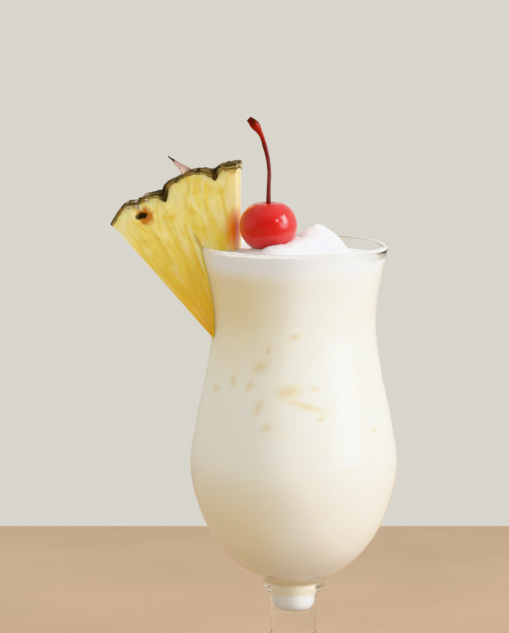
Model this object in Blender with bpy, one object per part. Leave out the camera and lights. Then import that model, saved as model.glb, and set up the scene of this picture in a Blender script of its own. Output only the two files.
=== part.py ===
"""Pina colada in a footed hurricane glass, with a pineapple wedge and a cherry.

Metres, +Z up. The origin is the centre of the flat underside of the glass's foot. The glass is
turned about Z. The wedge sits on the rim at -X, and the front of the drink faces -Y.
Outlines are (radius, height) points, or (x, z) points for the wedge.
"""

import math

import bmesh
import bpy
import numpy
from mathutils import Matrix, Vector

# Sizes that drive the rest
GAP = 0.0003
SEGMENTS = 40
MERGE_DISTANCE = 1e-6
SHARP_ANGLE = math.radians(40)
WALL = 0.0020
RIM_HEIGHT = 0.1900
DRINK_LEVEL = 0.1807

# Outside of the bowl, from the rim down to the knuckle
CURVE_STEPS = 2
BOWL_OUTSIDE = (
    (0.0375, 0.1890),
    (0.0346, 0.1758),
    (0.0326, 0.1597),
    (0.0346, 0.1414),
    (0.0391, 0.1196),
    (0.0415, 0.0997),
    (0.0385, 0.0854),
    (0.0307, 0.0695),
    (0.0207, 0.0593),
    (0.0131, 0.0552),
)
# Outside of the knuckle, the stem and the foot, down to the foot's edge
STEM_OUTSIDE = (
    (0.0122, 0.0533),
    (0.0124, 0.0516),
    (0.0115, 0.0500),
    (0.0095, 0.0487),
    (0.0092, 0.0330),
    (0.0104, 0.0235),
    (0.0145, 0.0160),
    (0.0220, 0.0100),
    (0.0310, 0.0060),
    (0.0374, 0.0040),
    (0.0384, 0.0026),
    (0.0380, 0.0008),
    (0.0366, 0.0000),
)
# Inside of the bowl below the even wall, down to the end of the pocket in the stem
FLOOR_INSIDE = (
    (0.0264, 0.0678),
    (0.0176, 0.0606),
    (0.0105, 0.0564),
    (0.0060, 0.0532),
    (0.0052, 0.0490),
    (0.0046, 0.0437),
    (0.0039, 0.0427),
    (0.0022, 0.0423),
    (0.0000, 0.0422),
)
EVEN_WALL_ENDS = 0.0760
RIM_STEPS = 4

# Foam: its level at the wall, and heaps as (x, y, radius, height, fullness)
FOAM_LEVEL = 0.1884
FOAM_FALL = 0.0030
FALL_DIRECTION = (0.8, 0.6)
FALL_START = -0.004
FALL_LENGTH = 0.018
FOAM_RINGS = 14
AT_WALL = 0.99
BLEND_POWER = 3
HEAPS = (
    (0.0080, 0.0030, 0.0120, 0.0108, 2),
    (0.0130, 0.0045, 0.0125, 0.0095, 2),
    (0.0021, -0.0125, 0.0110, 0.0058, 4),
    (-0.0054, -0.0205, 0.0095, 0.0038, 4),
    (-0.0104, -0.0140, 0.0110, 0.0022, 4),
)

# Pineapple wedge: a sector about its point, standing in the XZ plane before it is turned
WEDGE_POINT = Vector((-0.0220, -0.0025, 0.1430))
WEDGE_TURN = math.radians(-10)
WEDGE_THICKNESS = 0.0130
WEDGE_STATIONS = 5
WEDGE_ARC = (90.0, 132.7)
WEDGE_ARC_STEPS = 42
WEDGE_BLUNT = 0.0030
# The rind's top line over its eyes: angle on the arc, distance from the wedge's point
RIND_LINE = (
    (90.0, 0.0812),
    (95.0, 0.0801),
    (97.6, 0.0784),
    (100.0, 0.0791),
    (103.5, 0.0797),
    (108.0, 0.0785),
    (112.0, 0.0778),
    (115.0, 0.0762),
    (117.5, 0.0765),
    (119.2, 0.0770),
    (121.6, 0.0764),
    (125.2, 0.0784),
    (128.0, 0.0779),
    (132.7, 0.0760),
)
DEGREE_LENGTH = 0.0014
RIND_STEPS = 3
RIND_CROWN = 0.0009
NOTCH_ANGLE = 114.0
NOTCH_DEPTH = 0.0010
NOTCH_WIDTH = 1.0
ROOM_REACH = 0.9
SLOT_TOP = 0.1904
SLOT_BOTTOM = 0.1400
PIT_PLACE = (0.0700, 123.3)
PIT_SIZE = (0.0024, 0.0012, 0.0021)
# Dry bracts on the rind: angle on the arc, y, length, lean from the radius, width at the base
BRACTS = (
    (105.2, -0.0030, 0.0091, 29.0, 0.0050),
    (122.0, -0.0058, 0.0038, 62.0, 0.0046),
    (124.8, -0.0056, 0.0014, 62.0, 0.0042),
    (118.3, -0.0056, 0.0024, 60.0, 0.0040),
    (103.6, -0.0050, 0.0028, -62.0, 0.0036),
)
BRACT_BEND = 0.06
BRACT_ROOT = 0.0018
BRACT_THICKNESS = 0.0009
BRACT_TURN = math.radians(52)
BRACT_STATIONS = 5
BRACT_CORNERS = 6
BRACT_TIP_WIDTH = 0.14
BRACT_TIP_THICKNESS = 0.5
BRACT_WAVE = 0.0004
BRACT_WAVES = 1.3
BRACT_BOW = 0.0006

# Cherry and its stem
CHERRY_CENTRE = Vector((-0.0103, -0.0135, 0.1989))
CHERRY_RADIUS = 0.0115
CHERRY_HALF_HEIGHT = 0.0100
CHERRY_FULLNESS = 0.8
CHERRY_RINGS = 14
CHERRY_SEGMENTS = 28
DIMPLE_DEPTH = 0.0018
DIMPLE_RADIUS = 0.0030
# Stem: x, z and radius, from the dimple to the dark end of the knob
STEM_ROUTE = (
    (-0.0103, 0.2076, 0.0010),
    (-0.0102, 0.2142, 0.0008),
    (-0.0100, 0.2203, 0.0008),
    (-0.0106, 0.2258, 0.0008),
    (-0.0118, 0.2306, 0.0009),
    (-0.0130, 0.2345, 0.0009),
    (-0.0140, 0.2364, 0.0012),
    (-0.0154, 0.2385, 0.0018),
    (-0.0169, 0.2402, 0.0015),
    (-0.0181, 0.2413, 0.0011),
)


def clear_scene():
    """Removes every object."""
    for old in list(bpy.data.objects):
        bpy.data.objects.remove(old, do_unlink=True)


def material(name, colour, roughness, alpha=1.0, transmission=0.0):
    """A Principled material of one colour."""
    made = bpy.data.materials.new(name)
    made.use_nodes = True
    shader = made.node_tree.nodes["Principled BSDF"]
    shader.inputs["Base Color"].default_value = (*colour, 1.0)
    shader.inputs["Roughness"].default_value = roughness
    shader.inputs["Alpha"].default_value = alpha
    shader.inputs["Transmission Weight"].default_value = transmission
    return made


def smooth_curve(points, steps):
    """Points along a rounded curve through the given ones, spaced by their distances."""
    points = numpy.array(points, dtype=float)
    spans = numpy.linalg.norm(numpy.diff(points, axis=0), axis=1)
    slopes = numpy.diff(points, axis=0) / spans[:, None]
    tangents = numpy.empty_like(points)
    tangents[0] = slopes[0]
    tangents[-1] = slopes[-1]
    weights = spans[:-1] + spans[1:]
    tangents[1:-1] = (slopes[:-1] * spans[1:, None] + slopes[1:] * spans[:-1, None]) / weights[:, None]
    curve = []
    for i, span in enumerate(spans):
        for t in numpy.linspace(0, 1, steps, endpoint=False):
            start = (1 + 2 * t) * (1 - t) ** 2 * points[i]
            end = t * t * (3 - 2 * t) * points[i + 1]
            leave = t * (1 - t) ** 2 * span * tangents[i]
            arrive = t * t * (t - 1) * span * tangents[i + 1]
            curve.append(start + end + leave + arrive)
    curve.append(points[-1])
    return numpy.array(curve)


def offset(points, distance, closed=False):
    """The outline moved to the right of its direction, with mitred corners."""
    points = numpy.array(points, dtype=float)
    before = numpy.roll(points, 1, axis=0)
    after = numpy.roll(points, -1, axis=0)
    if not closed:
        before[0] = 2 * points[0] - points[1]
        after[-1] = 2 * points[-1] - points[-2]
    moved = []
    for a, b, c in zip(before, points, after):
        first = (b - a) / numpy.linalg.norm(b - a)
        second = (c - b) / numpy.linalg.norm(c - b)
        normal = numpy.array((first[1] + second[1], -first[0] - second[0]))
        length_squared = normal @ normal
        moved.append(b + normal * 2 * distance / length_squared)
    return numpy.array(moved)


def link(name, mesh, look):
    """Puts a mesh in the scene as a smooth-shaded object."""
    made = bpy.data.objects.new(name, mesh)
    bpy.context.scene.collection.objects.link(made)
    mesh.materials.append(look)
    mesh.shade_smooth()
    mesh.set_sharp_from_angle(angle=SHARP_ANGLE)
    return made


def mesh_from(bm, name):
    """Turns a bmesh into a mesh whose faces point out."""
    bmesh.ops.remove_doubles(bm, verts=bm.verts, dist=MERGE_DISTANCE)
    bmesh.ops.recalc_face_normals(bm, faces=bm.faces)
    mesh = bpy.data.meshes.new(name)
    bm.to_mesh(mesh)
    bm.free()
    return mesh


def turned(name, outline, segments=SEGMENTS, closed=False):
    """A solid turned about Z from (radius, height) points."""
    bm = bmesh.new()
    verts = [bm.verts.new((radius, 0, height)) for radius, height in outline]
    edges = [bm.edges.new(pair) for pair in zip(verts, verts[1:])]
    if closed:
        edges.append(bm.edges.new((verts[-1], verts[0])))
    bmesh.ops.spin(bm, geom=verts + edges, cent=(0, 0, 0), axis=(0, 0, 1),
                   angle=2 * math.pi, steps=segments, use_merge=True)
    bmesh.ops.remove_doubles(bm, verts=bm.verts, dist=MERGE_DISTANCE)
    open_edges = [edge for edge in bm.edges if edge.is_boundary]
    if open_edges:
        bmesh.ops.holes_fill(bm, edges=open_edges, sides=0)
    return mesh_from(bm, name)


def lofted(name, rings):
    """A solid through rings with equal numbers of points, closed at both ends."""
    bm = bmesh.new()
    loops = [[bm.verts.new(point) for point in ring] for ring in rings]
    for low, high in zip(loops, loops[1:]):
        for i, vert in enumerate(low):
            j = (i + 1) % len(low)
            bm.faces.new((vert, low[j], high[j], high[i]))
    bm.faces.new(loops[0])
    bm.faces.new(loops[-1])
    return mesh_from(bm, name)


def cut(target, cutter, operation="DIFFERENCE"):
    """Cuts the target with another object."""
    boolean = target.modifiers.new(cutter.name, "BOOLEAN")
    boolean.operation = operation
    boolean.object = cutter
    return boolean


def as_cutter(made):
    """Hides an object that only shapes another."""
    made.hide_render = True
    made.display_type = "WIRE"
    return made


def bowl_outside():
    """The bowl's outer curve, from the rim down."""
    return smooth_curve(BOWL_OUTSIDE, CURVE_STEPS)


def bowl_inside():
    """The hollow's curve, from the rim down to the end of the pocket."""
    outer = bowl_outside()
    even = offset(outer, WALL)
    even = [point for point in even if point[1] > EVEN_WALL_ENDS]
    return numpy.array([*even, *FLOOR_INSIDE])


def glass_outline():
    """The whole section: foot edge, stem, bowl, rim, and down inside to the axis."""
    outer = bowl_outside()
    inner = bowl_inside()
    middle = (outer[0] + inner[0]) / 2
    across = (outer[0] - inner[0]) / 2
    up = numpy.array((0, RIM_HEIGHT - middle[1]))
    rim = []
    for step in range(1, RIM_STEPS):
        turn = math.pi * step / RIM_STEPS
        rim.append(middle + across * math.cos(turn) + up * math.sin(turn))
    return [*reversed(STEM_OUTSIDE), *outer[::-1], *rim, *inner]


def contents_outline():
    """The hollow's curve moved in by the gap, from the rim down to the axis."""
    inner = offset(bowl_inside(), GAP)
    inner[-1] = (0, FLOOR_INSIDE[-1][1] + GAP)
    return inner


def contents_radius(height):
    """Radius of what fills the bowl at a height above the floor's curve."""
    inner = contents_outline()[::-1]
    return numpy.interp(height, inner[:, 1], inner[:, 0])


def make_glass():
    """The clear glass: bowl, knuckle, stem and foot in one piece."""
    look = material("clear_glass", (0.90, 0.92, 0.92), 0.03, alpha=0.35, transmission=1.0)
    return link("glass", turned("glass", glass_outline()), look)


def make_drink(wedge_cutter):
    """The creamy drink, up to the foam and down into the pocket of the stem."""
    wall = [point for point in contents_outline() if point[1] < DRINK_LEVEL]
    outline = [(0, DRINK_LEVEL), (contents_radius(DRINK_LEVEL), DRINK_LEVEL), *wall]
    look = material("creamy_drink", (0.84, 0.78, 0.62), 0.35)
    made = link("drink", turned("drink", outline), look)
    cut(made, wedge_cutter)
    return made


def heap_height(x, y):
    """Height of the heaps above the foam's level, blended where they meet."""
    total = 0.0
    for centre_x, centre_y, radius, height, fullness in HEAPS:
        reach = min(1.0, math.hypot(x - centre_x, y - centre_y) / radius)
        total += (height * (1 - reach ** fullness) ** 2) ** BLEND_POWER
    return total ** (1 / BLEND_POWER)


def foam_top(x, y):
    """Height of the foam's surface above the foot."""
    along = x * FALL_DIRECTION[0] + y * FALL_DIRECTION[1]
    t = min(1.0, max(0.0, (along - FALL_START) / FALL_LENGTH))
    fall = FOAM_FALL * t * t * (3 - 2 * t)
    return FOAM_LEVEL - fall + heap_height(x, y)


def make_foam(wedge_cutter, cherry_cutter):
    """The foam: a layer that runs through, heaped up beside the cherry."""
    top_rings = [(1 - ring / FOAM_RINGS, 1.0) for ring in range(FOAM_RINGS + 1)]
    unit_outline = [(0.0, 0.0), (1.0, 0.0), *top_rings]
    mesh = turned("foam", unit_outline)
    bottom = DRINK_LEVEL + GAP
    for vert in mesh.vertices:
        share = math.hypot(vert.co.x, vert.co.y)
        rise = vert.co.z
        turn = math.atan2(vert.co.y, vert.co.x)
        radius = share * contents_radius(FOAM_LEVEL)
        top = foam_top(radius * math.cos(turn), radius * math.sin(turn))
        height = bottom + rise * (top - bottom)
        radius = share * contents_radius(height if share > AT_WALL else FOAM_LEVEL)
        vert.co = (radius * math.cos(turn), radius * math.sin(turn), height)
    look = material("white_foam", (0.90, 0.88, 0.85), 0.6)
    made = link("foam", mesh, look)
    cut(made, wedge_cutter)
    cut(made, cherry_cutter)
    return made


def polar(radius, degrees):
    """A point of the wedge's plane from its point."""
    angle = math.radians(degrees)
    return numpy.array((radius * math.cos(angle), radius * math.sin(angle)))


def rind_curve():
    """The rind's top line as a rounded curve, with each degree as a length."""
    return smooth_curve([(degrees * DEGREE_LENGTH, radius) for degrees, radius in RIND_LINE], RIND_STEPS)


RIND_CURVE = rind_curve()


def rind_radius(degrees, y):
    """Distance from the wedge's point to the rind, with its eyes and a notch between two of them."""
    line = numpy.interp(degrees * DEGREE_LENGTH, RIND_CURVE[:, 0], RIND_CURVE[:, 1])
    notch = math.exp(-((degrees - NOTCH_ANGLE) / NOTCH_WIDTH) ** 2)
    crown = (2 * y / WEDGE_THICKNESS) ** 2
    return line - NOTCH_DEPTH * notch - RIND_CROWN * crown


def wedge_ring(y):
    """The wedge's outline at one place across its thickness."""
    ring = [polar(WEDGE_BLUNT, WEDGE_ARC[1]), polar(WEDGE_BLUNT, WEDGE_ARC[0])]
    for degrees in numpy.linspace(*WEDGE_ARC, WEDGE_ARC_STEPS + 1):
        ring.append(polar(rind_radius(degrees, y), degrees))
    return [(x, y, z) for x, z in ring]


def place_wedge(made):
    """Turns a piece of the wedge and stands it on the rim."""
    made.matrix_world = Matrix.Translation(WEDGE_POINT) @ Matrix.Rotation(WEDGE_TURN, 4, "Z")
    return made


def bract_mesh(angle, y, length, lean, width):
    """One dry bract: a thin wavy blade, rooted in the rind."""
    start_x, start_z = polar(rind_radius(angle, y) - BRACT_ROOT, angle)
    along_x, along_z = polar(1.0, angle + lean)
    along = Vector((along_x, 0, along_z))
    sideways = Vector((along_z, 0, -along_x))
    depth = Vector((0, 1, 0))
    wide = depth * math.cos(BRACT_TURN) + sideways * math.sin(BRACT_TURN)
    thin = sideways * math.cos(BRACT_TURN) - depth * math.sin(BRACT_TURN)
    rings = []
    for station in range(BRACT_STATIONS + 1):
        share = station / BRACT_STATIONS
        half_width = width / 2 * (1 - share + BRACT_TIP_WIDTH * share)
        half_thick = BRACT_THICKNESS / 2 * (1 - share + BRACT_TIP_THICKNESS * share)
        middle = Vector((start_x, y, start_z)) + along * (length + BRACT_ROOT) * share
        middle += thin * BRACT_WAVE * math.sin(BRACT_WAVES * math.tau * share)
        middle += wide * BRACT_BOW * math.sin(math.pi * share)
        middle += sideways * BRACT_BEND * length * math.sin(math.pi * share)
        turns = [math.tau * corner / BRACT_CORNERS for corner in range(BRACT_CORNERS)]
        rings.append([middle + wide * half_width * math.cos(turn) + thin * half_thick * math.sin(turn)
                      for turn in turns])
    return lofted("bract", rings)


def fuse_bracts(wedge, look):
    """Joins the bracts to the wedge with one union."""
    pieces = bpy.data.collections.new("bracts")
    bpy.context.scene.collection.children.link(pieces)
    for values in BRACTS:
        made = bpy.data.objects.new("bract", bract_mesh(*values))
        made.data.materials.append(look)
        pieces.objects.link(made)
    union = wedge.modifiers.new("bracts", "BOOLEAN")
    union.operation = "UNION"
    union.operand_type = "COLLECTION"
    union.collection = pieces
    seen = wedge.evaluated_get(bpy.context.evaluated_depsgraph_get())
    fused = bpy.data.meshes.new_from_object(seen)
    wedge.modifiers.clear()
    wedge.data = fused
    for made in list(pieces.objects):
        bpy.data.objects.remove(made, do_unlink=True)
    bpy.data.collections.remove(pieces)


def slot_cutter(look):
    """A turned ring round the glass's wall, which cuts the wedge's slot."""
    outer = offset(bowl_outside(), -GAP)
    inner = contents_outline()
    outer = numpy.array([point for point in outer if point[1] > SLOT_BOTTOM])
    inner = numpy.array([point for point in inner if point[1] > SLOT_BOTTOM])
    flare = (outer[0] - outer[1]) / (outer[0][1] - outer[1][1])
    outer_top = outer[0] + flare * (SLOT_TOP - outer[0][1])
    inner_top = inner[0] + flare * (SLOT_TOP - inner[0][1])
    outline = [*outer[::-1], outer_top, inner_top, *inner]
    return as_cutter(link("slot_cutter", turned("slot_cutter", outline, closed=True), look))


def pit_cutter(look):
    """A flat round cutter for the eye that shows in the wedge's front face."""
    bm = bmesh.new()
    bmesh.ops.create_icosphere(bm, subdivisions=2, radius=1.0)
    x, z = polar(*PIT_PLACE)
    bmesh.ops.scale(bm, vec=PIT_SIZE, verts=bm.verts)
    bmesh.ops.translate(bm, vec=(x, -WEDGE_THICKNESS / 2, z), verts=bm.verts)
    made = link("pit_cutter", mesh_from(bm, "pit_cutter"), look)
    return as_cutter(place_wedge(made))


def wedge_cutter(look):
    """The wedge's lower part, grown by the gap, which makes room in drink and foam."""
    reach = ROOM_REACH * RIND_LINE[-1][1]
    corners = [polar(WEDGE_BLUNT, WEDGE_ARC[1]), polar(WEDGE_BLUNT, WEDGE_ARC[0]),
               polar(reach, WEDGE_ARC[0]), polar(reach, WEDGE_ARC[1])]
    grown = offset(corners, GAP, closed=True)
    side = WEDGE_THICKNESS / 2 + GAP
    rings = [[(x, y, z) for x, z in grown] for y in (-side, side)]
    made = link("wedge_cutter", lofted("wedge_cutter", rings), look)
    return as_cutter(place_wedge(made))


def make_pineapple():
    """The wedge: flesh and rind in one piece, with bracts, a notch, an eye and a slot."""
    look = material("pineapple", (0.83, 0.60, 0.12), 0.4)
    side = WEDGE_THICKNESS / 2
    rings = [wedge_ring(y) for y in numpy.linspace(-side, side, WEDGE_STATIONS)]
    made = link("pineapple", lofted("pineapple", rings), look)
    fuse_bracts(made, look)
    place_wedge(made)
    cut(made, slot_cutter(look))
    cut(made, pit_cutter(look))
    return made


def cherry_outline(grow):
    """The cherry's section from the dimple down, grown by a distance."""
    outline = []
    for ring in range(CHERRY_RINGS + 1):
        turn = math.pi * ring / CHERRY_RINGS
        unit = max(0.0, math.sin(turn)) ** CHERRY_FULLNESS
        dimple = 0.0
        if turn < math.pi / 2:
            dimple = DIMPLE_DEPTH * math.exp(-(CHERRY_RADIUS * unit / DIMPLE_RADIUS) ** 2)
        height = (CHERRY_HALF_HEIGHT + grow) * math.cos(turn) - dimple
        outline.append(((CHERRY_RADIUS + grow) * unit, height))
    outline[0] = (0, outline[0][1])
    outline[-1] = (0, outline[-1][1])
    return outline


def make_cherry():
    """The cherry, with a dimple for its stem."""
    look = material("red_cherry", (0.66, 0.035, 0.02), 0.12)
    made = link("cherry", turned("cherry", cherry_outline(0), CHERRY_SEGMENTS), look)
    made.location = CHERRY_CENTRE
    return made


def cherry_cutter(look):
    """The cherry grown by the gap, which dents the foam under it."""
    made = link("cherry_cutter", turned("cherry_cutter", cherry_outline(GAP), CHERRY_SEGMENTS), look)
    made.location = CHERRY_CENTRE
    return as_cutter(made)


def make_cherry_stem():
    """The cherry's stem: a tapered rod that bends left and ends in a knob."""
    route = smooth_curve(STEM_ROUTE, 2)
    curve = bpy.data.curves.new("cherry_stem", "CURVE")
    curve.dimensions = "3D"
    curve.bevel_depth = 1.0
    curve.bevel_resolution = 2
    curve.use_fill_caps = True
    spline = curve.splines.new("POLY")
    spline.points.add(len(route) - 1)
    for point, (x, z, radius) in zip(spline.points, route):
        point.co = (x, CHERRY_CENTRE.y, z, 1.0)
        point.radius = radius
    curve.materials.append(material("dark_stem", (0.22, 0.04, 0.04), 0.4))
    made = bpy.data.objects.new("cherry_stem", curve)
    bpy.context.scene.collection.objects.link(made)
    return made


def main():
    """Builds the glass, its contents and the garnish."""
    clear_scene()
    cutter_look = material("cutter", (0.5, 0.5, 0.5), 0.5)
    round_wedge = wedge_cutter(cutter_look)
    round_cherry = cherry_cutter(cutter_look)
    make_glass()
    make_drink(round_wedge)
    make_foam(round_wedge, round_cherry)
    make_pineapple()
    make_cherry()
    make_cherry_stem()


main()
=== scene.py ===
"""Pina colada in a footed hurricane glass, with a pineapple wedge and a cherry.

Metres, +Z up, in the frame of the solids: the origin is the centre of the foot's underside, the
wedge sits on the rim at -X, and the front of the drink faces -Y. Outlines are (radius, height)
points, or (x, z) points for the wedge. Everything belongs to the one body, "root".
"""

import math

import bmesh
import bpy
import numpy
from mathutils import Matrix, Vector, noise


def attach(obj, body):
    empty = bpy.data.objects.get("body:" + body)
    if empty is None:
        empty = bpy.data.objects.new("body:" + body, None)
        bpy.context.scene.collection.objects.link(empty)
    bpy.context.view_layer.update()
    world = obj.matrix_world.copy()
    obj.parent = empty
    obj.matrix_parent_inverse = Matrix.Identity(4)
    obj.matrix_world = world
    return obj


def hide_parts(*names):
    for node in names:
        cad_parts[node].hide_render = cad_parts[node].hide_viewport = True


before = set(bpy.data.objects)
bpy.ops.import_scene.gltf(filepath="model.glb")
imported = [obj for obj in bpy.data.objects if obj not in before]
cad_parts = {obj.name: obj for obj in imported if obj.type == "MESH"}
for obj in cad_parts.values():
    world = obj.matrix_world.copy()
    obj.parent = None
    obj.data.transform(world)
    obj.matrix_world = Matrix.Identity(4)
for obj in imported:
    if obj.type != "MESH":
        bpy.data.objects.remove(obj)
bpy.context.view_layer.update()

# The glass, in its solid's sizes, with one more point at the top of the stem
SEGMENTS = 144
CURVE_STEPS = 6
MERGE_DISTANCE = 1e-6
SHARP_ANGLE = math.radians(50)
WALL = 0.0020
RIM_HEIGHT = 0.1900
BOWL_OUTSIDE = (
    (0.0375, 0.1890),
    (0.0346, 0.1758),
    (0.0326, 0.1597),
    (0.0346, 0.1414),
    (0.0391, 0.1196),
    (0.0415, 0.0997),
    (0.0385, 0.0854),
    (0.0307, 0.0695),
    (0.0207, 0.0593),
    (0.0131, 0.0552),
)
STEM_OUTSIDE = (
    (0.0122, 0.0533),
    (0.0124, 0.0516),
    (0.0115, 0.0500),
    (0.0095, 0.0487),
    (0.0094, 0.0470),
    (0.0092, 0.0330),
    (0.0104, 0.0235),
    (0.0145, 0.0160),
    (0.0220, 0.0100),
    (0.0310, 0.0060),
    (0.0374, 0.0040),
    (0.0384, 0.0026),
    (0.0380, 0.0008),
    (0.0366, 0.0000),
)
FLOOR_INSIDE = (
    (0.0264, 0.0678),
    (0.0176, 0.0606),
    (0.0105, 0.0564),
    (0.0060, 0.0532),
    (0.0052, 0.0490),
    (0.0046, 0.0437),
    (0.0039, 0.0427),
    (0.0022, 0.0423),
    (0.0000, 0.0422),
)
EVEN_WALL_ENDS = 0.0760
EVEN_WALL_STEPS = 2
RIM_STEPS = 10

# What fills the glass reaches this far into its wall
INTO_WALL = 0.0004
DRINK_LEVEL = 0.1809
FOAM_BOTTOM = 0.1807
FOAM_LEVEL = 0.1884
FOAM_FALL = 0.0030
FALL_DIRECTION = (0.8, 0.6)
FALL_START = -0.004
FALL_LENGTH = 0.018
FOAM_RINGS = 90
FOAM_WALL_RINGS = 6
AT_WALL = 0.999
BLEND_POWER = 3
# Heaps of foam: x, y, radius, height, fullness
HEAPS = (
    (0.0080, 0.0030, 0.0120, 0.0108, 2),
    (0.0130, 0.0045, 0.0125, 0.0095, 2),
    (0.0021, -0.0125, 0.0110, 0.0058, 4),
    (-0.0054, -0.0205, 0.0095, 0.0038, 4),
    (-0.0104, -0.0140, 0.0110, 0.0022, 4),
)
# Lumps in the foam: depth, size, seed. A heap of the full height has them at their deepest
FOAM_LUMPS = (
    (0.0004, 0.0045, 0.0),
    (0.00018, 0.0016, 3.0),
)
LUMPY_HEAP = 0.004

# The wedge, a sector about its point, in the XZ plane before it is turned
WEDGE_POINT = Vector((-0.0220, -0.0025, 0.1430))
WEDGE_TURN = math.radians(-10)
WEDGE_THICKNESS = 0.0130
WEDGE_ARC = (90.0, 132.7)
WEDGE_BLUNT = 0.0030
FLESH_CUTS = (120, 100, 14)
# The rind's top line over its eyes: angle on the arc, distance from the wedge's point
RIND_LINE = (
    (90.0, 0.0812),
    (95.0, 0.0801),
    (97.6, 0.0784),
    (100.0, 0.0791),
    (103.5, 0.0797),
    (108.0, 0.0785),
    (112.0, 0.0778),
    (115.0, 0.0762),
    (117.5, 0.0765),
    (119.2, 0.0770),
    (121.6, 0.0764),
    (125.2, 0.0784),
    (128.0, 0.0779),
    (132.7, 0.0760),
)
DEGREE_LENGTH = 0.0014
RIND_STEPS = 8
RIND_CROWN = 0.0009
RIND_THICKNESS = 0.0013
RIND_RAGGED = 0.0005
RIND_CUTS = (200, 8, 34)
NOTCH_ANGLE = 114.0
NOTCH_DEPTH = 0.0010
NOTCH_WIDTH = 1.0
SLOT_TOP = 0.1897
SLOT_BOTTOM = 0.1400
SLOT_INTO_WALL = 0.0003
PIT_PLACE = (0.0700, 123.3)
PIT_TURN = math.radians(-20)
PIT_SIZE = (0.0024, 0.0021, 0.0014)
PIT_DEPTH = 0.0012
# Where the rind dips deep between two eyes: angle, width in degrees, depth
SEAMS = (
    (113.2, 2.0, 0.0034),
    (96.4, 1.3, 0.0024),
)
RIND_END_SPAN = 10.0
RIND_END_THICKER = 0.0020
# Dry bracts on the rind: angle on the arc, y, length, lean from the radius, width at the base
BRACTS = (
    (105.2, -0.0030, 0.0091, 29.0, 0.0050),
    (122.0, -0.0058, 0.0038, 62.0, 0.0046),
    (124.8, -0.0056, 0.0014, 62.0, 0.0042),
    (118.3, -0.0056, 0.0024, 60.0, 0.0040),
    (103.6, -0.0050, 0.0028, -62.0, 0.0036),
)
BRACT_BEND = 0.06
BRACT_ROOT = 0.0018
BRACT_TURN = math.radians(52)
BRACT_THICKNESS = 0.0007
BRACT_TIP_WIDTH = 0.10
BRACT_WAVE = 0.0004
BRACT_BOW = 0.0012
BRACT_CURL = 0.25
BRACT_FRAY = 0.0002
BRACT_CUTS = (8, 1, 26)

# The cherry
CHERRY_CENTRE = Vector((-0.0103, -0.0135, 0.1989))
CHERRY_RADIUS = 0.0115
CHERRY_HALF_HEIGHT = 0.0100
CHERRY_FULLNESS = 0.8
DIMPLE_DEPTH = 0.0018
DIMPLE_RADIUS = 0.0030
CHERRY_RINGS = 60
CHERRY_SEGMENTS = 96
# Stalk: x, z and radius, from the dimple to the dark end of the knob
STEM_ROUTE = (
    (-0.0103, 0.2072, 0.0010),
    (-0.0102, 0.2142, 0.0008),
    (-0.0100, 0.2203, 0.0008),
    (-0.0106, 0.2258, 0.0008),
    (-0.0118, 0.2306, 0.0009),
    (-0.0130, 0.2345, 0.0009),
    (-0.0140, 0.2364, 0.0012),
    (-0.0154, 0.2385, 0.0018),
    (-0.0169, 0.2402, 0.0015),
    (-0.0181, 0.2413, 0.0011),
)
STEM_STEPS = 8
STEM_ROUNDNESS = 6

# Bits of pulp against the glass: turn from the front in degrees, height, length, width, tilt
PULP_BITS = (
    (0.4, 0.1571, 0.0026, 0.0014, 20.0),
    (-18.4, 0.1518, 0.0022, 0.0012, 70.0),
    (-24.0, 0.1450, 0.0046, 0.0026, 35.0),
    (-44.6, 0.1385, 0.0036, 0.0018, 80.0),
    (-61.9, 0.1342, 0.0030, 0.0016, 10.0),
    (-31.3, 0.1373, 0.0034, 0.0018, 50.0),
    (-4.3, 0.1357, 0.0060, 0.0036, 10.0),
    (5.6, 0.1303, 0.0118, 0.0017, -17.0),
    (-23.2, 0.1295, 0.0040, 0.0018, 65.0),
    (-17.3, 0.1217, 0.0026, 0.0016, 30.0),
    (12.6, 0.1368, 0.0022, 0.0012, 0.0),
    (16.2, 0.1252, 0.0020, 0.0012, 40.0),
    (55.2, 0.1186, 0.0024, 0.0014, 20.0),
    (96.0, 0.1440, 0.0040, 0.0022, 30.0),
    (128.0, 0.1260, 0.0052, 0.0024, -20.0),
    (163.0, 0.1390, 0.0036, 0.0020, 60.0),
    (205.0, 0.1310, 0.0060, 0.0018, 15.0),
    (247.0, 0.1420, 0.0034, 0.0020, -40.0),
)
PULP_SPREAD = 0.75
PULP_REACH = 0.012
DRINK_STEPS = 12
DRINK_SEGMENTS = 288

# Camera and stage
PHOTO_SIZE = (509, 633)
CAMERA_TARGET = Vector((-0.0158, 0.0, 0.1610))
CAMERA_DISTANCE = 1.40
CAMERA_PITCH = math.radians(7.7)
PHOTO_SCALE = 0.0004
SENSOR = 36.0
FLOOR_HALF = 0.385
FLOOR_THICKNESS = 0.020
LIGHT_TARGET = Vector((0, 0, 0.15))
LIGHT_DISTANCE = 1.10

# Places of the colour sockets on a Mix node
MIX_A = 6
MIX_B = 7
MIX_RESULT = 2


def colour(hex_value):
    """An sRGB hex colour as linear red, green, blue and alpha."""
    channels = [int(hex_value[i:i + 2], 16) / 255 for i in (1, 3, 5)]
    linear = [c / 12.92 if c <= 0.04045 else ((c + 0.055) / 1.055) ** 2.4 for c in channels]
    return (*linear, 1.0)


def new_material(name):
    """An empty node material."""
    made = bpy.data.materials.new(name)
    made.use_nodes = True
    made.node_tree.nodes.clear()
    return made


def add(look, kind, inputs=None, **settings):
    """Adds a node with its settings, its values and its links."""
    node = look.node_tree.nodes.new(kind)
    for key, value in settings.items():
        setattr(node, key, value)
    for key, value in (inputs or {}).items():
        if isinstance(value, bpy.types.NodeSocket):
            look.node_tree.links.new(value, node.inputs[key])
        else:
            node.inputs[key].default_value = value
    return node


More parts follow.
